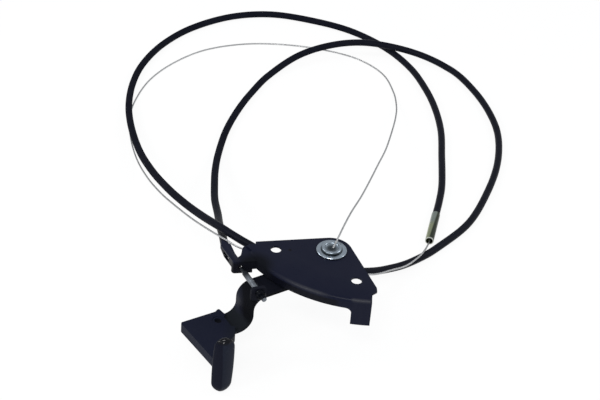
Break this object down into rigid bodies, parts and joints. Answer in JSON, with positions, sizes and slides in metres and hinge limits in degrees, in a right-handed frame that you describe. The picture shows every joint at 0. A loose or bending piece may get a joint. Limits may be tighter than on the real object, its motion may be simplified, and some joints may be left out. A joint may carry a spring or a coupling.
{
  "type": "hood release cable",
  "caption": "Hood release lever on a stamped bracket, with a long sheathed pull cable whose bare inner wire ends free.",
  "frame": {"origin": "midway between the bracket's two fixing holes, on the plate's top face", "axes": "+Z leaves the top face, +X runs along the bracket's straight rear edge towards the pivot's side, +Y points to the rear edge and the cable"},
  "size_m": [0.3486, 0.5554, 0.075],
  "materials": {
    "black_paint": "satin black electrocoat on steel",
    "bright_zinc": "bright zinc plating with a faint blue tint",
    "yellow_zinc": "yellow passivated zinc",
    "black_plastic": "fine-grained moulding",
    "grip_plastic": "smooth satin moulding",
    "sheath_vinyl": "slightly grained extruded vinyl",
    "steel_wire": "twisted galvanised strand"
  },
  "bodies": {
    "bracket": {"bracket_plate": "black_paint", "pivot_washer": "bright_zinc", "pivot_rivet": "bright_zinc", "pivot_spacer": "bright_zinc", "lower_washer": "bright_zinc", "near_end_cap": "black_paint", "outer_sheath": "sheath_vinyl", "far_ferrule": "yellow_zinc", "inner_wire_free": "steel_wire"},
    "lever": {"lever_arm": "black_paint", "handle_body": "black_plastic", "handle_rivet": "black_paint", "finger_grip": "grip_plastic"},
    "wire_end": {"crimp_sleeve": "bright_zinc", "end_nipple": "black_paint"},
    "wire_near": {"inner_wire_near": "steel_wire"}
  },
  "joints": [
    {"name": "lever_hinge", "type": "hinge", "parent": "bracket", "child": "lever", "pos_m": [0.0153, 0.016, 0], "axis": [0, 0, 1], "range_deg": [0, 40]},
    {"name": "wire_swing", "type": "hinge", "parent": "bracket", "child": "wire_near", "pos_m": [-0.05716, 0.01116, -0.007], "axis": [0, 0, 1], "range_deg": [0, 20.1]},
    {"name": "wire_slide", "type": "slide", "parent": "wire_near", "child": "wire_end", "axis": [0.2934, -0.956, 0], "range_m": [0, 0.0467]}
  ],
  "couplings": [
    {"joint": "wire_swing", "follows": "lever_hinge", "ratio": 0.4958},
    {"joint": "wire_slide", "follows": "lever_hinge", "m_per_rad": 0.066452}
  ]
}
